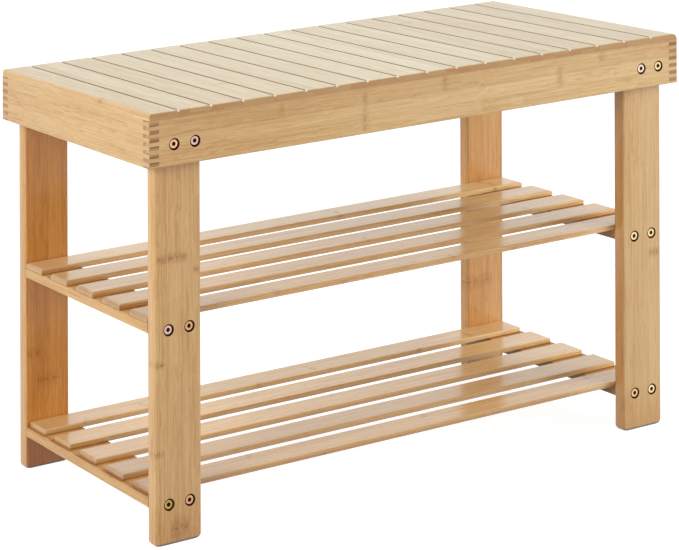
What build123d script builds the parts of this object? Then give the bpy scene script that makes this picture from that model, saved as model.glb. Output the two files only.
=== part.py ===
from build123d import *
import os

os.makedirs("parts", exist_ok=True)

# Driving sizes of the bench, in millimetres
seat_length = 700.0
seat_depth = 300.0
seat_height = 440.0
seat_slat_count = 18
seat_slat_thickness = 7.0
apron_height = 48.0
board_thickness = 11.5
finger_count = 6
leg_width = 55.0
leg_thickness = 15.0
rail_thickness = 11.0
shelf_slat_count = 5
shelf_slat_width = 34.0
shelf_slat_thickness = 5.6
middle_shelf_top = 228.6
lower_shelf_top = 52.7

# Rounds, grooves and small offsets
first_slat_trim = 4.7
last_slat_trim = 0.9
groove_depth = 1.4
seat_end_round = 3.0
slat_eave_bevel = 0.6
leg_edge_round = 2.5
leg_foot_bevel = 1.4
leg_top_clearance = 1.0
leg_end_gap = 2.0
rail_edge_round = 1.5
rail_outer_inset = 0.5
rail_inner_inset = 2.0
middle_slat_round = 1.9
middle_slat_end_round = 3.2
lower_slat_round = 1.3
lower_slat_end_inset = 4.0
slat_bottom_round = 0.9
slat_leg_clearance = 0.5

# Hex socket wood screws, whose shanks and holes are hidden in the wood and have plain flat sides
screw_shank = 4.6
screw_shank_sides = 8
screw_hole_clearance = 0.2
screw_head_diameter = 11.4
screw_head_height = 2.6
screw_head_bevel = 1.0
screw_socket_flats = 4.0
screw_socket_depth = 1.8
screw_spacing = 25.0
screw_end_room = 1.2
screw_grip_in_leg = 9.0
screw_grip_in_rail = 27.0
apron_screw_drop = 2.0

# Places that follow from those sizes
half_length = seat_length / 2
half_depth = seat_depth / 2
seat_slat_pitch = (seat_length + first_slat_trim + last_slat_trim) / seat_slat_count
apron_top = seat_height - seat_slat_thickness
apron_bottom = apron_top - apron_height
leg_outer_x = half_length - board_thickness - leg_end_gap
leg_inner_x = leg_outer_x - leg_width
leg_centre_x = (leg_outer_x + leg_inner_x) / 2
leg_outer_y = half_depth - board_thickness
leg_inner_y = leg_outer_y - leg_thickness
leg_top = apron_top - leg_top_clearance
rail_outer_x = leg_outer_x - rail_outer_inset
rail_inner_x = leg_inner_x + rail_inner_inset
shelf_slat_pitch = (2 * (leg_inner_y - slat_leg_clearance) - shelf_slat_width) / (shelf_slat_count - 1)
screw_hole = screw_shank + screw_hole_clearance
apron_screw_z = (apron_top + apron_bottom) / 2 - apron_screw_drop
finger_height = apron_height / (2 * finger_count)

shelf_tops = {"middle": middle_shelf_top, "lower": lower_shelf_top}
rail_tops = {name: top - shelf_slat_thickness for name, top in shelf_tops.items()}
rail_screw_z = {name: top - rail_thickness / 2 for name, top in rail_tops.items()}
screw_columns = (-screw_spacing / 2, screw_spacing / 2)


def span_box(x, y, z):
    """A box given by its low and high place along each axis."""
    size = [high - low for low, high in (x, y, z)]
    centre = [(high + low) / 2 for low, high in (x, y, z)]
    return Pos(*centre) * Box(*size)


def mirrored_span(side, inner, outer):
    """The low and high place of a span, on the positive or negative side."""
    return tuple(sorted((side * inner, side * outer)))


def edges_along(shape, axis, keep):
    """The straight edges along an axis whose centre passes a test."""
    return [edge for edge in shape.edges().filter_by(axis) if keep(edge.center())]


def shank_bar(width, length):
    """A flat-sided bar that runs down from the origin."""
    return extrude(RegularPolygon(width / 2, screw_shank_sides), -length)


def y_hole(x, y_from, y_to, z):
    """A hole for a screw's shank, along the depth of the bench."""
    return Pos(x, min(y_from, y_to), z) * Rot(90, 0, 0) * shank_bar(screw_hole, abs(y_to - y_from))


def screw_x_places(side_x):
    """The two places along the length at which a leg is screwed."""
    return [side_x * leg_centre_x + column for column in screw_columns]


def one_solid(shape, name):
    """The shape as a single solid with the name of its node."""
    solids = shape.solids()
    if len(solids) != 1:
        raise ValueError(f"{name} has {len(solids)} solids")
    solid = solids[0]
    solid.label = name
    return solid


def save(shape, name):
    shape.label = name
    export_step(shape, os.path.join("parts", f"{name}.step"))


# Seat slats, which lie front to back with a V groove between neighbours
first_groove = -half_length + seat_slat_pitch - first_slat_trim
groove_places = [first_groove + index * seat_slat_pitch for index in range(seat_slat_count - 1)]
seat_slat_edges = [-half_length, *groove_places, half_length]


def seat_slat(index):
    left, right = seat_slat_edges[index], seat_slat_edges[index + 1]
    slat = span_box((left, right), (-half_depth, half_depth), (apron_top, seat_height))
    outer_x = {0: left, seat_slat_count - 1: right}.get(index)

    def on_top(place):
        return place.Z > seat_height - 0.01

    def is_outer(place):
        return outer_x is not None and abs(place.X - outer_x) < 0.01

    grooved = edges_along(slat, Axis.Y, lambda p: on_top(p) and not is_outer(p))
    slat = chamfer(grooved, groove_depth)
    if outer_x is not None:
        slat = fillet(edges_along(slat, Axis.Y, lambda p: on_top(p) and is_outer(p)), seat_end_round)
    return chamfer(edges_along(slat, Axis.X, on_top), slat_eave_bevel)


for number in range(seat_slat_count):
    name = f"seat_slat_{number + 1:02d}"
    save(one_solid(seat_slat(number), name), name)


# Seat frame boards, joined with fingers at the four corners
def finger_spans():
    """The heights of the end panel's fingers, with half a finger of apron above and below."""
    start = apron_bottom + finger_height / 2
    return [(start + 2 * index * finger_height, start + (2 * index + 1) * finger_height)
            for index in range(finger_count)]


def corner_fingers(side_x, side_y):
    """The fingers of one end panel at one corner."""
    x = mirrored_span(side_x, half_length - board_thickness, half_length)
    y = mirrored_span(side_y, half_depth - board_thickness, half_depth)
    return [span_box(x, y, span) for span in finger_spans()]


def apron(side_y):
    y = mirrored_span(side_y, half_depth - board_thickness, half_depth)
    board = span_box((-half_length, half_length), y, (apron_bottom, apron_top))
    for side_x in (-1, 1):
        for finger in corner_fingers(side_x, side_y):
            board -= finger
        for x in screw_x_places(side_x):
            board -= y_hole(x, *y, apron_screw_z)
    return board


def end_panel(side_x):
    x = mirrored_span(side_x, half_length - board_thickness, half_length)
    inside = half_depth - board_thickness
    panel = span_box(x, (-inside, inside), (apron_bottom, apron_top))
    for side_y in (-1, 1):
        for finger in corner_fingers(side_x, side_y):
            panel += finger
    return panel


for name, side in (("front_apron", -1), ("back_apron", 1)):
    save(one_solid(apron(side), name), name)
for name, side in (("left_end_panel", -1), ("right_end_panel", 1)):
    save(one_solid(end_panel(side), name), name)


# Legs, which stand inside the corners of the seat frame
def leg(side_x, side_y):
    x = mirrored_span(side_x, leg_inner_x, leg_outer_x)
    y = mirrored_span(side_y, leg_inner_y, leg_outer_y)
    post = span_box(x, y, (0, leg_top))
    post = fillet(post.edges().filter_by(Axis.Z), leg_edge_round)
    post = chamfer(post.faces().sort_by(Axis.Z)[0].edges(), leg_foot_bevel)
    for place in screw_x_places(side_x):
        front = side_y * leg_outer_y
        post -= y_hole(place, front, front - side_y * (screw_grip_in_leg + screw_end_room), apron_screw_z)
        for z in rail_screw_z.values():
            post -= y_hole(place, *y, z)
    return post


for front_name, side_y in (("front", -1), ("back", 1)):
    for side_name, side_x in (("left", -1), ("right", 1)):
        name = f"leg_{front_name}_{side_name}"
        save(one_solid(leg(side_x, side_y), name), name)


# Shelf rails, flat cross pieces between a front and a back leg
def shelf_rail(side_x, shelf):
    top = rail_tops[shelf]
    x = mirrored_span(side_x, rail_inner_x, rail_outer_x)
    rail = span_box(x, (-leg_inner_y, leg_inner_y), (top - rail_thickness, top))
    rail = fillet(rail.edges().filter_by(Axis.Y), rail_edge_round)
    for place in screw_x_places(side_x):
        for side_y in (-1, 1):
            end = side_y * leg_inner_y
            depth = side_y * (screw_grip_in_rail + screw_end_room)
            rail -= y_hole(place, end, end - depth, rail_screw_z[shelf])
    return rail


for shelf in shelf_tops:
    for side_name, side_x in (("left", -1), ("right", 1)):
        name = f"{shelf}_shelf_rail_{side_name}"
        save(one_solid(shelf_rail(side_x, shelf), name), name)


# Shelf slats, which lie along the length on top of the rails
def shelf_slat(shelf, index):
    top = shelf_tops[shelf]
    centre_y = (index - (shelf_slat_count - 1) / 2) * shelf_slat_pitch
    is_middle = shelf == "middle"
    half_slat = rail_outer_x if is_middle else rail_outer_x - lower_slat_end_inset
    y = (centre_y - shelf_slat_width / 2, centre_y + shelf_slat_width / 2)
    block = span_box((-half_slat, half_slat), y, (top - shelf_slat_thickness, top))
    side_round = middle_slat_round if is_middle else lower_slat_round
    end_round = middle_slat_end_round if is_middle else lower_slat_round

    def on_top(place):
        return place.Z > top - 0.01

    long_edges = fillet(edges_along(block, Axis.X, on_top), side_round)
    under = long_edges.faces().sort_by(Axis.Z)[0].edges().filter_by(Axis.X)
    long_edges = fillet(under, slat_bottom_round)
    end_edges = fillet(edges_along(block, Axis.Y, on_top), end_round)
    return long_edges & end_edges


for shelf in shelf_tops:
    for number in range(shelf_slat_count):
        name = f"{shelf}_shelf_slat_{number + 1}"
        save(one_solid(shelf_slat(shelf, number), name), name)


# Screws, drawn with the head towards -Y and its seat at the origin
def screw(grip):
    head = Pos(0, 0, screw_head_height / 2) * Cylinder(screw_head_diameter / 2, screw_head_height)
    head = chamfer(head.edges().sort_by(Axis.Z)[-1], screw_head_bevel)
    socket = extrude(RegularPolygon(screw_socket_flats / 2, 6, major_radius=False), screw_socket_depth)
    head -= Pos(0, 0, screw_head_height - screw_socket_depth) * socket
    return Rot(90, 0, 0) * (head + shank_bar(screw_shank, grip))


def screw_group(name, seat_y, z, grip):
    pattern = screw(grip)
    screws = []
    for side_y in (-1, 1):
        turn = Rot(0, 0, 0 if side_y < 0 else 180)
        for side_x in (-1, 1):
            for x in screw_x_places(side_x):
                screws.append(one_solid(Pos(x, side_y * seat_y, z) * turn * pattern, name))
    save(Compound(children=screws), name)


screw_group("apron_screws", half_depth, apron_screw_z, board_thickness + screw_grip_in_leg)
for shelf in shelf_tops:
    grip = leg_thickness + screw_grip_in_rail
    screw_group(f"{shelf}_shelf_screws", leg_outer_y, rail_screw_z[shelf], grip)
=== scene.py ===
import math
from collections import namedtuple

import bmesh
import bpy
from mathutils import Matrix, Vector


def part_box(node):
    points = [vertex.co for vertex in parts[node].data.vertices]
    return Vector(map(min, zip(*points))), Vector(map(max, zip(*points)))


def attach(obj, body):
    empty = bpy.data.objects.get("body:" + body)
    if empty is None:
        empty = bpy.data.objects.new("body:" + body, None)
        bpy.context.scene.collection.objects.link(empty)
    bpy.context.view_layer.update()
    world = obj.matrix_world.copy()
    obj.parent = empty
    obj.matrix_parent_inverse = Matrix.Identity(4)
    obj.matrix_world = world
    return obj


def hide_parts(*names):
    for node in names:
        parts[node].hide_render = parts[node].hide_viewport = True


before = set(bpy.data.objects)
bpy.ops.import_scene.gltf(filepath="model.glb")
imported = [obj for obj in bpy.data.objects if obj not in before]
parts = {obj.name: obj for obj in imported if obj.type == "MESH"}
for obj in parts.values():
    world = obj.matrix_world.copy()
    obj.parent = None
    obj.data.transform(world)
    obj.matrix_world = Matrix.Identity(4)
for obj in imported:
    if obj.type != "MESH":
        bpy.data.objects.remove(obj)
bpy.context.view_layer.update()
scene = bpy.context.scene
scene.view_settings.view_transform = "Standard"

MM = 1000.0
UP = Vector((0, 0, 1))
X, Y, Z = 0, 1, 2
QUARTER_TURN = math.pi / 2


# Camera: level, with a frame sheared like a view camera's, so that uprights stay near upright on sloping rows
image_width, image_height = 679, 550
view_place = Vector((-1.6214, -2.1376, 0.9379))
view_turn = math.radians(-25.73)
focal_px = 2348.6
axis_px = (-133.2, -393.3)
row_slope = -0.0454
upright_lean = 0.0035
sensor_width = 36.0


def view_camera():
    forward = Vector((-math.sin(view_turn), math.cos(view_turn), 0))
    right = forward.cross(UP) + row_slope * UP
    axis_y = axis_px[1] + row_slope * (axis_px[0] - image_width / 2)
    centre = forward.copy()
    centre += (image_width / 2 - axis_px[0]) / focal_px * right
    centre += (axis_y - image_height / 2) / focal_px * UP
    data = bpy.data.cameras.new("photo_camera")
    data.sensor_width = sensor_width
    data.lens = focal_px * centre.length * sensor_width / image_width
    camera = bpy.data.objects.new("photo_camera", data)
    rig = bpy.data.objects.new("camera_rig", None)
    for item in (camera, rig):
        scene.collection.objects.link(item)
    columns = (right.normalized(), UP + upright_lean * right, -centre.normalized(), view_place)
    matrix = Matrix.Identity(4)
    for index, column in enumerate(columns):
        for row in range(3):
            matrix[row][index] = column[row]
    camera.parent = rig
    camera.matrix_parent_inverse = matrix
    return camera


scene.camera = view_camera()


# Short calls for building node trees
class Graph:
    def __init__(self, tree):
        self.tree = tree
        tree.nodes.clear()

    def add(self, kind, inputs=(), **settings):
        node = self.tree.nodes.new(kind)
        for key, value in settings.items():
            setattr(node, key, value)
        for key, value in dict(inputs).items():
            self.put(node.inputs[key], value)
        return node

    def put(self, socket, value):
        if isinstance(value, bpy.types.NodeSocket):
            self.tree.links.new(value, socket)
        else:
            socket.default_value = value

    def math(self, operation, a, b=0.0):
        node = self.add("ShaderNodeMath", operation=operation)
        for socket, value in zip(node.inputs, (a, b)):
            self.put(socket, value)
        return node.outputs[0]

    def times(self, a, b):
        return self.math("MULTIPLY", a, b)

    def over(self, a, b):
        return self.math("DIVIDE", a, b)

    def plus(self, a, b):
        return self.math("ADD", a, b)

    def minus(self, a, b):
        return self.math("SUBTRACT", a, b)

    def size(self, value):
        return self.math("ABSOLUTE", value)

    def larger(self, a, b):
        return self.math("MAXIMUM", a, b)

    def above(self, value, level):
        """1 above the level and 0 below it."""
        return self.math("GREATER_THAN", value, level)

    def rest(self, share):
        """What is left of 1 beside a share."""
        return self.minus(1.0, share)

    def smooth(self, value, low, high):
        """0 at low, 1 at high, smooth between."""
        node = self.add("ShaderNodeMapRange", interpolation_type="SMOOTHSTEP")
        for key, item in (("Value", value), ("From Min", low), ("From Max", high)):
            self.put(node.inputs[key], item)
        return node.outputs[0]

    def fall(self, value, low, high):
        """1 up to low, 0 from high on, smooth between."""
        return self.rest(self.smooth(value, low, high))

    def centred(self, value, share):
        """A value around one half, moved to zero and scaled."""
        return self.times(self.minus(value, 0.5), share)

    def vector(self, x, y, z):
        return self.add("ShaderNodeCombineXYZ", {"X": x, "Y": y, "Z": z}).outputs[0]

    def split(self, vector):
        return list(self.add("ShaderNodeSeparateXYZ", {0: vector}).outputs)

    def object_place(self, scale):
        """The place on the object, scaled."""
        place = self.add("ShaderNodeTexCoord").outputs["Object"]
        return self.add("ShaderNodeVectorMath", {0: place, "Scale": scale}, operation="SCALE").outputs[0]

    def noise(self, vector, detail, roughness):
        inputs = {"Vector": vector, "Scale": 1.0, "Detail": detail, "Roughness": roughness}
        return self.add("ShaderNodeTexNoise", inputs).outputs["Fac"]

    def chance(self, vector):
        """Three seeded values between 0 and 1 for each whole-number vector."""
        return self.split(self.add("ShaderNodeTexWhiteNoise", {"Vector": vector}).outputs["Color"])

    def mix(self, factor, a, b, blend="MIX"):
        node = self.add("ShaderNodeMix", data_type="RGBA", blend_type=blend)
        for socket, value in ((node.inputs[0], factor), (node.inputs[6], a), (node.inputs[7], b)):
            self.put(socket, value)
        return node.outputs[2]

    def tint(self, share, colour, factor):
        """The colour, multiplied by a factor as far as the share goes."""
        return self.mix(share, colour, self.mix(1.0, colour, factor, "MULTIPLY"))

    def ramp(self, factor, *stops):
        node = self.add("ShaderNodeValToRGB", {"Fac": factor})
        elements = node.color_ramp.elements
        while len(elements) < len(stops):
            elements.new(0.5)
        for element, (place, colour) in zip(elements, stops):
            element.position = place
            element.color = colour
        return node.outputs["Color"]


def linear(red, green, blue):
    """A colour given in the usual 0 to 255 steps, as linear values."""
    def one(step):
        value = step / 255
        return value / 12.92 if value <= 0.04045 else ((value + 0.055) / 1.055) ** 2.4
    return (one(red), one(green), one(blue), 1.0)


def new_material(name):
    material = bpy.data.materials.new(name)
    material.use_nodes = True
    return material, Graph(material.node_tree)


# Stage: a white floor that keeps the shadow, white surroundings for gloss, and soft light
WHITE = (1, 1, 1, 1)
FLOOR_PAPER = (0.35, 0.35, 0.35, 1)
floor_glow = 0.9
floor_reach = 12
world_light = 0.3


def rays_that_see_white(graph):
    path = graph.add("ShaderNodeLightPath").outputs
    seen = graph.larger(path["Is Camera Ray"], path["Is Glossy Ray"])
    return graph.larger(seen, path["Is Transmission Ray"])


def floor_material():
    material, graph = new_material("white_floor")
    paper = graph.add("ShaderNodeBsdfDiffuse", {"Color": FLOOR_PAPER})
    strength = graph.times(rays_that_see_white(graph), floor_glow)
    glow = graph.add("ShaderNodeEmission", {"Color": WHITE, "Strength": strength})
    both = graph.add("ShaderNodeAddShader", {0: paper.outputs[0], 1: glow.outputs[0]})
    graph.add("ShaderNodeOutputMaterial", {"Surface": both.outputs[0]})
    return material


def add_floor():
    mesh = bpy.data.meshes.new("floor")
    corners = [(floor_reach * x, floor_reach * y, 0) for x, y in ((-1, -1), (1, -1), (1, 1), (-1, 1))]
    mesh.from_pydata(corners, [], [(0, 1, 2, 3)])
    mesh.materials.append(floor_material())
    floor = bpy.data.objects.new("floor", mesh)
    scene.collection.objects.link(floor)


def add_world():
    world = bpy.data.worlds.new("studio")
    scene.world = world
    world.use_nodes = True
    graph = Graph(world.node_tree)
    soft = graph.add("ShaderNodeBackground", {"Color": WHITE, "Strength": world_light})
    white = graph.add("ShaderNodeBackground", {"Color": WHITE, "Strength": 1.0})
    seen = rays_that_see_white(graph)
    mixed = graph.add("ShaderNodeMixShader", {0: seen, 1: soft.outputs[0], 2: white.outputs[0]})
    graph.add("ShaderNodeOutputWorld", {"Surface": mixed.outputs[0]})


def add_lamp(name, place, aim, size, power):
    data = bpy.data.lights.new(name, "AREA")
    data.size = size
    data.energy = power
    lamp = bpy.data.objects.new(name, data)
    lamp.location = place
    lamp.rotation_euler = (Vector(aim) - Vector(place)).to_track_quat("-Z", "Y").to_euler()
    lamp.visible_glossy = False
    scene.collection.objects.link(lamp)


add_floor()
add_world()
add_lamp("left_softbox", place=(-2.4, -0.5, 1.2), aim=(0, 0, 0.25), size=1.4, power=48)
add_lamp("overhead_softbox", place=(0.2, 0.3, 2.3), aim=(0, 0, 0.3), size=1.5, power=10)
add_lamp("back_softbox", place=(0.9, 2.4, 1.3), aim=(0, 0, 0.3), size=1.8, power=8)
add_lamp("right_softbox", place=(2.15, -2.1, 1.3), aim=(0, 0, 0.3), size=2.2, power=66)


# Wood tones, from deep to pale, and single colours, some of them painted shade and highlight
GOLDEN = (linear(188, 136, 76), linear(211, 165, 104), linear(222, 180, 122))
HONEY = (linear(194, 146, 86), linear(214, 173, 112), linear(225, 188, 131))
CREAM = (linear(190, 160, 106), linear(207, 183, 133), linear(218, 199, 154))
SILKY = (linear(220, 170, 100), linear(240, 197, 128), linear(247, 211, 150))
KNUCKLE = linear(118, 70, 34)
END_GRAIN = linear(156, 100, 54)
GLUE = linear(140, 94, 52)
# Paler edges: wear together with a painted edge highlight
WORN_AND_HIGHLIGHT = linear(232, 200, 152)
SEAT_END = linear(185, 131, 70)
PANEL_END = linear(138, 84, 34)
# Dark joint colour with painted shade in the V grooves
GROOVE_JOINT_SHADE = linear(100, 56, 8)
# Painted highlight at the front ends of the V grooves
NOTCH_HIGHLIGHT = linear(250, 236, 206)

# Tints, by which a tone is multiplied; most of them stand for painted light and shade
MARK = (0.55, 0.36, 0.17, 1.0)
SEAT_SIDE = (1.06, 0.86, 0.7, 1.0)
# Painted sheen on the middle of the seat top
SEAT_MIDDLE_SHEEN = (1.07, 1.14, 1.22, 1.0)
UPPER_STRIP = (0.97, 0.94, 0.92, 1.0)
LOWER_STRIP = (1.06, 1.08, 1.12, 1.0)
# Painted shade at the apron's left end and painted light at its right end
APRON_LEFT_SHADE = (0.95, 0.91, 0.87, 1.0)
APRON_RIGHT_LIGHT = (1.03, 1.06, 1.12, 1.0)
# The leg tints from here on stand for painted light and shade
BACK_LEFT_LEG_SHADE = (0.97, 0.72, 0.37, 1.0)
BACK_RIGHT_LEG_LIGHTING = (1.07, 0.96, 0.82, 1.0)
FRONT_RIGHT_LEG_LIGHT = (1.02, 1.07, 1.14, 1.0)
# Painted shade on the front right leg's inner side; the next line is painted light on the back right leg's
INNER_SIDE_SHADE = (0.87, 0.71, 0.54, 1.0)
BACK_RIGHT_SIDE_LIGHT = (1.6, 1.56, 1.42, 1.0)
# Painted shadow under the lower shelf
UNDER_SHELF_SHADE = (0.8, 0.68, 0.56, 1.0)
# Painted shade, darker towards the foot
FOOT_SHADE = (0.9, 0.79, 0.62, 1.0)
# Painted contact shadow along the bottom of the feet
SOLE_SHADOW = (0.16, 0.09, 0.05, 1.0)
# The slat tints from here to the row tints are painted light and shade
SLAT_EDGE_SHADE = (0.78, 0.7, 0.6, 1.0)
SLAT_END_SHADE = (0.78, 0.72, 0.66, 1.0)
SLAT_LEFT_SHADE = (0.85, 0.84, 0.9, 1.0)
SLAT_RIGHT_LIGHT = (1.1, 1.17, 1.3, 1.0)
FRONT_ROW_SHADE = (0.85, 0.82, 0.84, 1.0)
BACK_ROW_LIGHT = (1.08, 1.08, 1.08, 1.0)
CORNER_SHADE = (0.66, 0.5, 0.36, 1.0)
# Painted shade on the right rails' inner sides
RAIL_INSIDE_SHADE = (0.6, 0.46, 0.32, 1.0)


# Bamboo: boards glued up from strips, with long fibres and a knuckle band now and then along each strip.
# The scales of its noises are per mm, along the grain and across it.
board_seed = (3.0, 7.0)
bend_scale, bend_reach = (0.022, 0.05), 6.0
fibre_scale, fine_scale = (0.007, 0.62), (0.03, 2.3)
fibre_share, fine_share, drift_share = 1.4, 0.8, 0.6
drift_scale = (0.011, 0.05)
curl_scale = (0.12, 0.5)
strip_shift, board_shift, drift_shift = 60.0, 9.7, 30.0
knuckle_gap = 230.0
knuckle_depth = 0.5
knuckle_wave_scale, knuckle_wave_reach = 0.16, 10.0
pore_scale, pore_share = 0.75, 0.3
glue_half, glue_share = (0.12, 0.4), 0.22
worn_and_highlight_share = 0.3


class Strip:
    """Where a point lies in its board and strip, in mm, with seeded values for both.

    Widths are the strip's along the two axes across the grain. board(graph, place) numbers the boards that
    share the material, so that they differ.
    """

    def __init__(self, graph, grain, widths, board, seed):
        self.place = graph.split(graph.object_place(MM))
        self.facing = graph.split(graph.add("ShaderNodeTexCoord").outputs["Normal"])
        self.along = self.place[grain]
        self.wide, self.thick = (self.place[axis] for axis in (X, Y, Z) if axis != grain)
        self.number = graph.plus(board(graph, self.place), seed)
        self.board_luck = graph.chance(graph.vector(self.number, *board_seed))
        wide_turn = graph.plus(graph.over(self.wide, widths[0]), self.board_luck[0])
        thick_turn = graph.plus(graph.over(self.thick, widths[1]), self.board_luck[1])
        cell = [graph.math("FLOOR", turn) for turn in (wide_turn, thick_turn)]
        self.luck = graph.chance(graph.vector(*cell, self.number))
        self.turns = ((wide_turn, widths[0]), (thick_turn, widths[1]))

    def noise(self, graph, scale, detail, roughness):
        """Noise that is stretched along the grain."""
        spots = (graph.times(self.along, scale[0]), graph.times(self.wide, scale[1]),
                 graph.times(self.thick, scale[1]))
        return graph.noise(graph.vector(*spots), detail, roughness)


def fibres(graph, strip, fineness):
    """Long fibres that wander a little, in two sizes."""
    shift = graph.times(strip.luck[0], strip_shift)
    bend = graph.centred(strip.noise(graph, bend_scale, 2.0, 0.5), bend_reach)
    wide = graph.plus(strip.wide, bend)
    thick = graph.plus(strip.thick, bend)
    coarse, thin = fibre_scale[1] * fineness, fine_scale[1] * fineness
    board = graph.times(strip.number, board_shift)
    fibre = graph.noise(graph.vector(graph.plus(graph.times(strip.along, fibre_scale[0]), shift),
                                     graph.plus(graph.times(wide, coarse), board),
                                     graph.plus(graph.times(thick, coarse), shift)), 3.0, 0.6)
    fine = graph.noise(graph.vector(graph.plus(graph.times(strip.along, fine_scale[0]), shift),
                                    graph.times(wide, thin), graph.times(thick, thin)), 2.0, 0.5)
    return fibre, fine


def strip_colour(graph, strip, fibre, fine, tones, spread, streaks):
    """The tone of fibres, slow drifts, strips and boards together."""
    deep, middle, pale = tones
    shift = graph.times(strip.luck[2], drift_shift)
    drift_along = graph.plus(graph.times(strip.along, drift_scale[0]), shift)
    drift_cross = [graph.times(spot, drift_scale[1]) for spot in (strip.wide, strip.thick)]
    drift = graph.noise(graph.vector(drift_along, *drift_cross), 1.0, 0.5)
    tone = graph.centred(fibre, fibre_share * streaks)
    for value, share in ((fine, fine_share * streaks), (drift, drift_share), (strip.luck[1], spread),
                         (strip.board_luck[2], 0.6 * spread)):
        tone = graph.plus(tone, graph.centred(value, share))
    return graph.ramp(graph.plus(tone, 0.5), (0.06, deep), (0.5, middle), (0.94, pale))


def knuckle_band(graph, strip, curl, knuckle_share):
    """A soft smudge across the strip, streaked along the grain."""
    turn = graph.plus(graph.over(strip.along, knuckle_gap), strip.luck[2])
    offset = graph.centred(graph.math("FRACT", turn), knuckle_gap)
    wave_cross = [graph.times(spot, knuckle_wave_scale) for spot in (strip.wide, strip.thick)]
    wave = graph.noise(graph.vector(*wave_cross, strip.number), 1.0, 0.5)
    reach = graph.size(graph.plus(offset, graph.centred(wave, knuckle_wave_reach)))
    ring = graph.times(graph.fall(reach, 0.5, 3.0), graph.smooth(curl, 0.3, 0.6))
    smudge = graph.times(graph.fall(reach, 1.0, 9.0), graph.smooth(curl, 0.25, 0.8))
    shown = graph.math("LESS_THAN", strip.luck[0], knuckle_share)
    return graph.times(graph.plus(graph.times(ring, 0.4), graph.times(smudge, 0.6)), shown)


def glue_lines(graph, strip, colour):
    for turn, width in strip.turns:
        edge = graph.times(graph.math("PINGPONG", turn, 0.5), width)
        colour = graph.mix(graph.times(graph.fall(edge, *glue_half), glue_share), colour, GLUE)
    return colour


def cut_fibres(graph, strip, end_tone, end_luck, middle):
    """End grain: darker, with the dots of cut fibres, and not the same on every strip."""
    spot = graph.vector(strip.wide, strip.thick, strip.along)
    dots = graph.add("ShaderNodeTexVoronoi", {"Vector": spot, "Scale": pore_scale})
    pores = graph.times(graph.fall(dots.outputs["Distance"], 0.15, 0.55), pore_share)
    cut = graph.mix(pores, end_tone, KNUCKLE)
    return graph.mix(graph.times(strip.luck[1], end_luck), cut, middle)


def bamboo(name, grain, strips, board, tones=GOLDEN, end_tone=END_GRAIN, end_share=0.6, end_luck=0.5,
           knuckle_share=0.4, spread=0.34, streaks=1.3, fineness=1.0, rounding=0.0009, coat=0.65,
           seed=0.0, extra=None):
    """Wood with its grain along one axis.

    extra(graph, colour, place, facing) adds what one kind of board has of its own, painted light and shade
    among it.
    """
    material, graph = new_material(name)
    strip = Strip(graph, grain, strips, board, seed)
    fibre, fine = fibres(graph, strip, fineness)
    colour = strip_colour(graph, strip, fibre, fine, tones, spread, streaks)
    curl = strip.noise(graph, curl_scale, 3.0, 0.6)
    band = knuckle_band(graph, strip, curl, knuckle_share)
    colour = graph.mix(graph.times(band, knuckle_depth), colour, KNUCKLE)
    colour = glue_lines(graph, strip, colour)
    end_on = graph.smooth(graph.size(strip.facing[grain]), 0.55, 0.9)
    cut = cut_fibres(graph, strip, end_tone, end_luck, tones[1])
    colour = graph.mix(graph.times(end_on, end_share), colour, cut)
    if extra:
        colour = extra(graph, colour, strip.place, strip.facing)

    # Clear lacquer over the fibres, with the edges rubbed a little paler and a painted highlight along them
    rounded = graph.add("ShaderNodeBevel", {"Radius": rounding}, samples=4).outputs[0]
    true_normal = graph.add("ShaderNodeNewGeometry").outputs["True Normal"]
    agree = graph.add("ShaderNodeVectorMath", {0: rounded, 1: true_normal}, operation="DOT_PRODUCT")
    worn_and_highlight = graph.times(graph.fall(agree.outputs["Value"], 0.8, 0.985), graph.smooth(curl, 0.3, 0.7))
    worn_and_highlight = graph.times(worn_and_highlight, graph.rest(end_on))
    colour = graph.mix(graph.times(worn_and_highlight, worn_and_highlight_share), colour, WORN_AND_HIGHLIGHT)
    relief = graph.plus(graph.times(fine, 0.5), graph.times(band, -0.6))
    relief = graph.plus(graph.times(fibre, 0.5), relief)
    bump = graph.add("ShaderNodeBump", {"Strength": 0.35, "Distance": 0.00025, "Height": relief,
                                        "Normal": rounded})
    rough = graph.plus(graph.times(fine, 0.16), 0.34)
    shader = graph.add("ShaderNodeBsdfPrincipled", {
        "Base Color": colour, "Roughness": rough, "Normal": bump.outputs[0], "IOR": 1.45,
        "Coat Weight": coat, "Coat Roughness": 0.16, "Coat IOR": 1.5, "Coat Normal": rounded})
    graph.add("ShaderNodeOutputMaterial", {"Surface": shader.outputs[0]})
    return material


# Places on the bench, in mm, and which board a point lies in
def box_mm(node):
    low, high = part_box(node)
    return [value * MM for value in low], [value * MM for value in high]


seat_first = box_mm("seat_slat_01")
seat_second = box_mm("seat_slat_02")
groove_start = seat_first[1][X]
groove_pitch = seat_second[1][X] - seat_second[0][X]
seat_left = seat_first[0][X]
seat_front = seat_first[0][Y]
seat_top = seat_first[1][Z]
shelf_first = box_mm("middle_shelf_slat_1")
shelf_pitch = box_mm("middle_shelf_slat_2")[0][Y] - shelf_first[0][Y]
half_slat = (shelf_first[1][Y] - shelf_first[0][Y]) / 2
middle_height = (shelf_first[0][Z] + box_mm("lower_shelf_slat_1")[1][Z]) / 2


def on_right(graph, place):
    return graph.above(place[X], 0.0)


def at_back(graph, place):
    return graph.above(place[Y], 0.0)


def is_upper(graph, place):
    return graph.above(place[Z], middle_height)


def groove_turn(graph, place):
    return graph.over(graph.minus(place[X], groove_start), groove_pitch)


def shelf_turn(graph, place):
    return graph.plus(graph.over(place[Y], shelf_pitch), 0.5)


def seat_board(graph, place):
    return graph.math("FLOOR", groove_turn(graph, place))


def shelf_board(graph, place):
    row = graph.math("FLOOR", shelf_turn(graph, place))
    return graph.plus(row, graph.times(is_upper(graph, place), 20.0))


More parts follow.
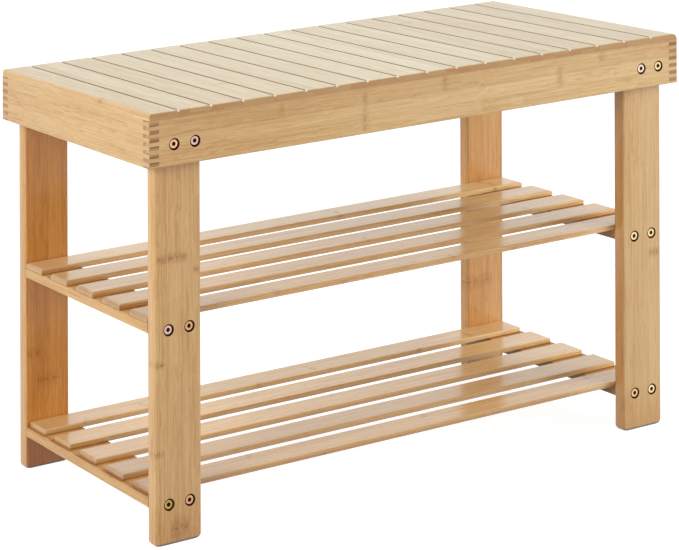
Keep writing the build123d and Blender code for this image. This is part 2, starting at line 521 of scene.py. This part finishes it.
def end_board(graph, place):
    return graph.times(on_right(graph, place), 4.0)


def apron_board(graph, place):
    return graph.times(at_back(graph, place), 6.0)


def corner_board(graph, place):
    return graph.plus(graph.times(on_right(graph, place), 2.0), graph.times(at_back(graph, place), 5.0))


def rail_board(graph, place):
    return graph.plus(graph.times(is_upper(graph, place), 3.0), graph.times(on_right(graph, place), 7.0))


# Knuckle marks that stand out: the side, the place along and across, and half the reach in both, in mm
apron_mark_depth = 0.62
apron_marks = [
    ("front", 21.0, 425.0, 5.0, 8.0), ("front", 180.0, 411.0, 5.5, 12.5), ("front", 240.0, 427.0, 6.0, 6.0),
    ("front", -190.0, 423.5, 4.5, 7.0), ("front", -84.0, 408.0, 4.5, 21.0),
    ("back", 95.0, 400.0, 5.0, 12.0), ("back", -210.0, 425.0, 5.0, 8.0)]
leg_mark_depth = 1.0
leg_marks = [
    ("front", 289.0, -316.0, 5.0, 19.0), ("front", 273.5, -287.0, 4.0, 5.0),
    ("front", 183.0, -331.0, 4.0, 6.0), ("front", 93.0, -331.0, 4.0, 6.0),
    ("front", 15.0, -308.0, 11.0, 11.0), ("front", 195.0, 326.0, 6.0, 8.0)]
faint_mark_depth = 0.7
faint_leg_marks = [
    ("back", 127.0, -327.0, 6.0, 9.0), ("back", 96.0, -309.0, 8.0, 14.0), ("back", 106.0, 300.0, 9.0, 20.0)]


def knuckle_marks(graph, colour, place, along, across, depth, marks):
    """Streaky brown bands on the boards of one side, back or front."""
    def streaks(across_scale, along_scale, layer, detail, roughness):
        scaled = (graph.times(place[across], across_scale), graph.times(place[along], along_scale))
        return graph.noise(graph.vector(*scaled, layer), detail, roughness)

    wobble_spot = graph.vector(graph.times(place[X], 0.22), graph.times(place[Z], 0.22), 2.0)
    wobble = graph.noise(wobble_spot, 2.0, 0.6)
    streak = graph.plus(graph.times(graph.smooth(streaks(0.9, 0.1, 5.0, 2.0, 0.6), 0.42, 0.6), 0.8), 0.2)
    breaks = graph.plus(graph.times(graph.smooth(streaks(0.2, 0.05, 9.0, 1.0, 0.5), 0.42, 0.58), 0.7), 0.3)
    back = at_back(graph, place)
    sides = {"back": back, "front": graph.rest(back)}
    for side, centre, middle, reach, width in marks:
        off = graph.size(graph.plus(graph.minus(place[along], centre), graph.centred(wobble, 4.0)))
        aside = graph.size(graph.minus(place[across], middle))
        smudge = graph.times(graph.times(graph.fall(off, reach * 0.2, reach * 1.5), streak), 0.72 * depth)
        ridge = graph.times(graph.times(graph.fall(off, 0.4, 2.4), breaks), 0.95 * depth)
        inside = graph.times(graph.fall(aside, width - 3.0, width + 1.0), sides[side])
        colour = graph.tint(graph.times(graph.larger(smudge, ridge), inside), colour, MARK)
    return colour


# Where tones, painted light and painted shade change on each kind of board, in mm, each from one place to
# another
apron_strip_edge = (413.5, 416.0)
apron_light_fade = (-300.0, 300.0)
seat_rim = (-seat_left - 11.0, -seat_left - 3.0)
seat_sheen_span = (40.0, 200.0)
groove_edge = (1.15, 1.45)
groove_floor = seat_top - 1.6
groove_highlight_end = (-seat_front - 4.5, -seat_front - 3.0)
under_lower_shelf = (34.0, 40.0)
foot_shade_span = (4.0, 60.0)
sole_shadow_span = (1.8, 3.2)
slat_left_shade_span = (-300.0, -200.0)
slat_right_light_span = (180.0, 280.0)
slat_row_light_span = (-130.0, 130.0)
rail_shade = (half_slat, half_slat + 7.0)


# What each kind of board has of its own, and the light and shade painted on it
def apron_details(graph, colour, place, facing):
    """Two strips of different tone, painted shade at the left end turning into painted light at the right
    end, and knuckle marks.
    """
    upper = graph.smooth(place[Z], *apron_strip_edge)
    # Painted light: the boards grow paler along the length towards the right
    right = graph.smooth(place[X], *apron_light_fade)
    for share, first, second in ((upper, LOWER_STRIP, UPPER_STRIP), (right, APRON_LEFT_SHADE, APRON_RIGHT_LIGHT)):
        colour = graph.mix(1.0, colour, graph.mix(share, first, second), "MULTIPLY")
    return knuckle_marks(graph, colour, place, X, Z, apron_mark_depth, apron_marks)


def seat_details(graph, colour, place, facing):
    """Golden sides, a golden rim painted near the ends of the row as the shading of a wider rounding, a
    painted sheen on the middle of the top, dark joints with painted shade in the V grooves, and a painted
    highlight at the grooves' front ends.
    """
    along_seat = graph.size(place[X])
    # Near the row's ends the golden tint reaches onto the top: painted shading of a wider rounding
    rim = graph.smooth(along_seat, *seat_rim)
    side = graph.larger(graph.times(rim, 0.7), graph.smooth(graph.size(facing[X]), 0.35, 0.85))
    side = graph.times(side, graph.fall(graph.size(facing[Y]), 0.5, 0.9))
    colour = graph.tint(side, colour, SEAT_SIDE)
    # Painted sheen: the top is paler in the middle of the row
    bright = graph.times(graph.fall(along_seat, *seat_sheen_span), graph.smooth(facing[Z], 0.5, 0.9))
    colour = graph.tint(bright, colour, SEAT_MIDDLE_SHEEN)
    # The V grooves: a dark joint with painted shade in it
    away = graph.times(graph.math("PINGPONG", groove_turn(graph, place), 0.5), groove_pitch)
    inside = graph.times(graph.fall(away, *groove_edge), graph.above(place[Z], groove_floor))
    # Painted highlight where the grooves meet the front edge
    run = graph.fall(graph.size(place[Y]), *groove_highlight_end)
    return graph.mix(inside, colour, graph.mix(run, NOTCH_HIGHLIGHT, GROOVE_JOINT_SHADE))


def leg_details(graph, colour, place, facing):
    """Knuckle marks; painted shade and light on the broad faces of each leg, painted shade under the lower
    shelf at the back left and on the front right leg's inner side, painted light on the back right leg's
    inner side, painted shade darkening the feet, and a painted contact shadow along the sole.
    """
    colour = knuckle_marks(graph, colour, place, Z, X, leg_mark_depth, leg_marks)
    colour = knuckle_marks(graph, colour, place, Z, X, faint_mark_depth, faint_leg_marks)
    back = at_back(graph, place)
    right = on_right(graph, place)
    # Painted shade on the back left leg's broad faces and painted light on the back right leg's
    broad = graph.smooth(graph.size(facing[Y]), 0.5, 0.8)
    back_face = graph.times(back, broad)
    colour = graph.tint(back_face, colour, graph.mix(right, BACK_LEFT_LEG_SHADE, BACK_RIGHT_LEG_LIGHTING))
    # Painted shadow of the lower shelf on the back left leg
    under = graph.times(graph.times(back_face, graph.fall(place[Z], *under_lower_shelf)), graph.rest(right))
    colour = graph.tint(under, colour, UNDER_SHELF_SHADE)
    # Painted light on the front right leg
    colour = graph.tint(graph.times(right, graph.rest(back)), colour, FRONT_RIGHT_LEG_LIGHT)
    # Painted shade on the front right inner side and painted light on the back right one
    inner = graph.times(right, graph.fall(facing[X], -0.8, -0.4))
    colour = graph.tint(inner, colour, graph.mix(back, INNER_SIDE_SHADE, BACK_RIGHT_SIDE_LIGHT))
    # Painted shade: the legs grow darker towards the foot
    shaded_foot = graph.times(graph.fall(place[Z], *foot_shade_span), graph.plus(graph.times(broad, 0.8), 0.2))
    colour = graph.tint(shaded_foot, colour, FOOT_SHADE)
    # Painted contact shadow along the sole's edge
    return graph.tint(graph.fall(place[Z], *sole_shadow_span), colour, SOLE_SHADOW)


def slat_details(graph, colour, place, facing):
    """Painted shade browns the shelf slats' edges, ends, front row and left end, and painted light makes them
    paler towards the back and the right.
    """
    right = graph.smooth(place[X], *slat_right_light_span)
    # Painted shade browns the edge faces and ends, less towards the right end
    for axis, tint in ((Y, SLAT_EDGE_SHADE), (X, SLAT_END_SHADE)):
        edge = graph.smooth(graph.size(facing[axis]), 0.3, 0.8)
        edge = graph.times(edge, graph.rest(graph.times(right, 0.8)))
        colour = graph.tint(edge, colour, tint)
    # Painted light and shade by row: darker at the front, paler at the back, half as strong on the upper
    # shelf
    row_share = graph.rest(graph.times(is_upper(graph, place), 0.5))
    row = graph.mix(graph.smooth(place[Y], *slat_row_light_span), FRONT_ROW_SHADE, BACK_ROW_LIGHT)
    # Painted shade at the left end and painted light at the right end
    left = graph.fall(place[X], *slat_left_shade_span)
    for share, tint in ((row_share, row), (left, SLAT_LEFT_SHADE), (right, SLAT_RIGHT_LIGHT)):
        colour = graph.tint(share, colour, tint)
    return colour


def rail_details(graph, colour, place, facing):
    """Painted shade on the rails along both edges of each slat, and painted shade on the inner side on the
    right.
    """
    across = graph.minus(graph.math("FRACT", shelf_turn(graph, place)), 0.5)
    aside = graph.times(graph.size(across), shelf_pitch)
    shade = graph.times(graph.fall(aside, *rail_shade), graph.smooth(facing[Z], 0.3, 0.8))
    colour = graph.tint(shade, colour, CORNER_SHADE)
    # Painted shade on the inner side of the right rails
    inner = graph.times(on_right(graph, place), graph.fall(facing[X], -0.6, -0.2))
    return graph.tint(inner, colour, RAIL_INSIDE_SHADE)


# One wood for each family of nodes
woods = {
    "seat_slat": bamboo("bamboo_seat", Y, (19.0, 7.0), seat_board, tones=CREAM, end_tone=SEAT_END,
                        end_share=1.0, end_luck=0.3, knuckle_share=0.12, spread=0.24, streaks=1.7,
                        rounding=0.0005, seed=11.0, extra=seat_details),
    "apron": bamboo("bamboo_apron", X, (20.0, 15.5), apron_board, tones=HONEY, end_tone=PANEL_END,
                    end_share=0.7, knuckle_share=0.0, spread=0.1, streaks=1.5, fineness=1.4, seed=40.0,
                    extra=apron_details),
    "end_panel": bamboo("bamboo_end_panel", Y, (20.0, 8.0), end_board, tones=HONEY, end_tone=PANEL_END,
                        end_share=1.0, knuckle_share=0.0, spread=0.15, streaks=1.6, fineness=1.3, seed=60.0),
    "leg": bamboo("bamboo_leg", Z, (18.0, 7.5), corner_board, knuckle_share=0.15, seed=80.0,
                  extra=leg_details),
    "shelf_rail": bamboo("bamboo_rail", Y, (18.0, 5.5), rail_board, end_share=0.5, coat=0.2, seed=90.0,
                         extra=rail_details),
    "shelf_slat": bamboo("bamboo_shelf", X, (17.0, 5.6), shelf_board, tones=SILKY, end_share=0.25,
                         knuckle_share=0.3, coat=1.0, seed=120.0, extra=slat_details),
}


# Closed pieces made from rows of points, in place of a node
def add_skin(work, rows, finishes=None):
    """Faces between neighbouring rows and over both ends, with a material for each band between rows."""
    count = len(rows[0])
    for band, (lower, upper) in enumerate(zip(rows, rows[1:])):
        for step in range(count):
            after = (step + 1) % count
            face = work.faces.new((lower[step], lower[after], upper[after], upper[step]))
            face.material_index = finishes[band] if finishes else 0
    work.faces.new(rows[0][::-1])
    work.faces.new(rows[-1])


def add_piece(work, name, node, materials, crease):
    """The finished mesh as a piece, with sharp edges from the crease angle on."""
    bmesh.ops.recalc_face_normals(work, faces=work.faces)
    for face in work.faces:
        face.smooth = True
    for edge in work.edges:
        edge.smooth = edge.calc_face_angle(0.0) < math.radians(crease)
    mesh = bpy.data.meshes.new(name)
    for material in materials:
        mesh.materials.append(material)
    work.to_mesh(mesh)
    work.free()
    piece = bpy.data.objects.new(name, mesh)
    scene.collection.objects.link(piece)
    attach(piece, "root")
    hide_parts(node)


board_crease = 40


def add_board(node, outlines, wood):
    work = bmesh.new()
    add_skin(work, [[work.verts.new(spot / MM) for spot in outline] for outline in outlines])
    add_piece(work, node + "_rounded", node, [wood], board_crease)


# The last seat slat, with a full round along the right end of the seat
end_round = 6.0
end_steps = 10
groove_depth = 1.4
eave_bevel = 0.6


def end_slat_outline(low, high, place, drop):
    """The outline of the end slat at one place along it, with its top brought down by a drop."""
    spots = [(low[X], low[Z]), (low[X], high[Z] - groove_depth), (low[X] + groove_depth, high[Z])]
    for step in range(end_steps + 1):
        angle = QUARTER_TURN * step / end_steps
        inset, lowered = end_round * (1 - math.sin(angle)), end_round * (1 - math.cos(angle))
        spots.append((high[X] - inset, high[Z] - lowered))
    spots.append((high[X], low[Z]))
    squeeze = 1 - drop / (high[Z] - low[Z])
    return [Vector((x, place, low[Z] + (z - low[Z]) * squeeze)) for x, z in spots]


def rounded_end_slat(node):
    low, high = box_mm(node)
    stations = ((low[Y], eave_bevel), (low[Y] + eave_bevel, 0.0),
                (high[Y] - eave_bevel, 0.0), (high[Y], eave_bevel))
    outlines = [end_slat_outline(low, high, place, drop) for place, drop in stations]
    add_board(node, outlines, woods["seat_slat"])


rounded_end_slat("seat_slat_18")


# Legs: posts with eased edges and softly rounded feet
edge_round = 2.5
sole_rounding = 0.4
foot_round = 5.0
foot_front_share = 0.45
corner_steps = 6
foot_steps = 6


def eased_outline(low, high, inset, height):
    """A rectangle with rounded corners, at one height, drawn in by an inset, but less at front and back."""
    reach = edge_round + inset * sole_rounding
    points = []
    for corner, (side_x, side_y) in enumerate(((1, 1), (-1, 1), (-1, -1), (1, -1))):
        centre_x = (high[X] if side_x > 0 else low[X]) - side_x * (inset + reach)
        centre_y = (high[Y] if side_y > 0 else low[Y]) - side_y * (inset * foot_front_share + reach)
        for step in range(corner_steps + 1):
            angle = QUARTER_TURN * (corner + step / corner_steps)
            x, y = centre_x + math.cos(angle) * reach, centre_y + math.sin(angle) * reach
            points.append(Vector((x, y, height)))
    return points


def rounded_leg(node):
    low, high = box_mm(node)
    levels = []
    for step in range(foot_steps + 1):
        angle = QUARTER_TURN * step / foot_steps
        levels.append((foot_round * (1 - math.sin(angle)), low[Z] + foot_round * (1 - math.cos(angle))))
    levels.append((0.0, high[Z]))
    outlines = [eased_outline(low, high, inset, height) for inset, height in levels]
    add_board(node, outlines, woods["leg"])


for end in ("front", "back"):
    for side in ("left", "right"):
        rounded_leg(f"leg_{end}_{side}")


# Screws: flat yellow plated heads with a hex socket, in a dark ring of painted shade that is shifted as a
# painted cast shadow
def plating(name, tone, soil):
    """Stained metal."""
    material, graph = new_material(name)
    stain = graph.noise(graph.object_place(420.0), 3.0, 0.6)
    colour = graph.mix(graph.times(graph.smooth(stain, 0.45, 0.8), 0.6), tone, soil)
    rough = graph.plus(graph.times(stain, 0.2), 0.2)
    shader = graph.add("ShaderNodeBsdfPrincipled", {"Base Color": colour, "Metallic": 1.0,
                                                    "Roughness": rough})
    graph.add("ShaderNodeOutputMaterial", {"Surface": shader.outputs[0]})
    return material


def painted_screw_shade():
    """The dark ring of painted shade around each head, shifted as a painted cast shadow, and the painted
    shade in its socket.
    """
    material, graph = new_material("screw_shade")
    stain = graph.noise(graph.object_place(900.0), 2.0, 0.5)
    colour = graph.mix(stain, linear(22, 7, 0), linear(50, 23, 7))
    rough = graph.plus(graph.times(stain, 0.2), 0.6)
    shader = graph.add("ShaderNodeBsdfPrincipled", {"Base Color": colour, "Roughness": rough,
                                                    "Specular IOR Level": 0.1})
    graph.add("ShaderNodeOutputMaterial", {"Surface": shader.outputs[0]})
    return material


PAINTED_SHADE = "dark"
platings = {
    PAINTED_SHADE: painted_screw_shade(),
    "peach": plating("peach_plating", linear(232, 188, 142), linear(190, 134, 84)),
    "rose": plating("rose_plating", linear(244, 218, 198), linear(214, 160, 130)),
    "mauve": plating("mauve_plating", linear(214, 176, 170), linear(178, 128, 116)),
    "cream": plating("cream_plating", linear(240, 214, 158), linear(204, 160, 100)),
    "olive": plating("olive_plating", linear(172, 156, 84), linear(122, 104, 36)),
    "tan": plating("tan_plating", linear(208, 160, 120), linear(164, 112, 72)),
}
screw_spacing = 25.0
apron_screw_length = 20.0
shelf_screw_length = 41.5
solid_head_height = 2.6
head_sides = 48
screw_crease = 32
first_spin, spin_step = 0.37, 1.13
tip_radius, tip_length = 0.3, 3.0
shank_radius = 2.3
lip_reach, lip_height, lip_bevel = 0.5, 0.12, 0.1
# The shift and drop place the dark ring as a painted cast shadow to one side and below the head
lip_shadow_shift, lip_shadow_drop = 1.05, 0.6
face_inset, face_foot, face_top = 1.25, 0.16, 0.48
face_edge = ((0.0, 0.3), (0.1, 0.42), (0.35, face_top))
socket_flat, socket_bevel, socket_wall_top = 1.95, 0.2, 0.3
# The socket is shallow; its dark floor is painted shade
socket_centre, socket_bottom = 0.2, 0.1
Ring = namedtuple("Ring", "radius height is_hex shift bright", defaults=(False, 0.0, False))


def hex_radius(angle, flat):
    return flat / math.cos((angle + math.pi / 6) % (math.pi / 3) - math.pi / 6)


def screw_rings(radius, length):
    """Rings from the shank's tip over the dark ring and the head's face to the socket's bottom.

    A bright ring starts a band of plating. The dark ring of painted shade is shifted sideways and down, as a
    painted cast shadow.
    """
    lip, face = radius + lip_reach, radius - face_inset
    return [
        Ring(tip_radius, -length), Ring(shank_radius, tip_length - length), Ring(shank_radius, 0.0),
        Ring(lip, 0.0, shift=lip_shadow_shift), Ring(lip - lip_bevel, lip_height, shift=lip_shadow_shift),
        Ring(face, face_foot, bright=True),
        *[Ring(face - inset, height, bright=True) for inset, height in face_edge],
        Ring(socket_flat + socket_bevel, face_top, is_hex=True),
        Ring(socket_flat, socket_wall_top, is_hex=True), Ring(socket_flat, face_foot, is_hex=True),
        Ring(socket_centre, socket_bottom)]


def ring_spots(ring, spin, x, facing, seat, height):
    """The points of one ring of a screw, whose head faces front or back."""
    spots = []
    for step in range(head_sides):
        angle = 2 * math.pi * step / head_sides
        reach = hex_radius(angle, ring.radius) if ring.is_hex else ring.radius
        across = math.cos(angle + spin) * reach + ring.shift
        upward = math.sin(angle + spin) * reach - ring.shift * lip_shadow_drop
        spots.append(Vector((x - facing * across, facing * (seat + ring.height), height + upward)))
    return spots


def screws(node, length, finishes):
    low, high = box_mm(node)
    radius = (high[Z] - low[Z]) / 2
    height = (high[Z] + low[Z]) / 2
    seat = high[Y] - solid_head_height
    outer = high[X] - radius
    used = [PAINTED_SHADE, *dict.fromkeys(finishes)]
    places = [(side * (outer - inset), facing) for facing in (-1, 1) for side in (-1, 1)
              for inset in (0.0, screw_spacing)]
    rings = screw_rings(radius, length)
    work = bmesh.new()
    for index, (x, facing) in enumerate(places):
        spin = first_spin + spin_step * index
        rows = [[work.verts.new(spot / MM) for spot in ring_spots(ring, spin, x, facing, seat, height)]
                for ring in rings]
        plated = used.index(finishes[index % len(finishes)])
        add_skin(work, rows, [plated if ring.bright else 0 for ring in rings])
    materials = [platings[finish] for finish in used]
    add_piece(work, node + "_detail", node, materials, screw_crease)


screws("apron_screws", apron_screw_length, ("peach", "mauve", "cream", "rose"))
screws("middle_shelf_screws", shelf_screw_length, ("mauve", "tan", "cream", "cream"))
screws("lower_shelf_screws", shelf_screw_length, ("olive", "tan", "cream", "peach"))


# The wood of every node that isn't a screw
for name, part in parts.items():
    for family, wood in woods.items():
        if family in name and "screws" not in name:
            part.data.materials.clear()
            part.data.materials.append(wood)
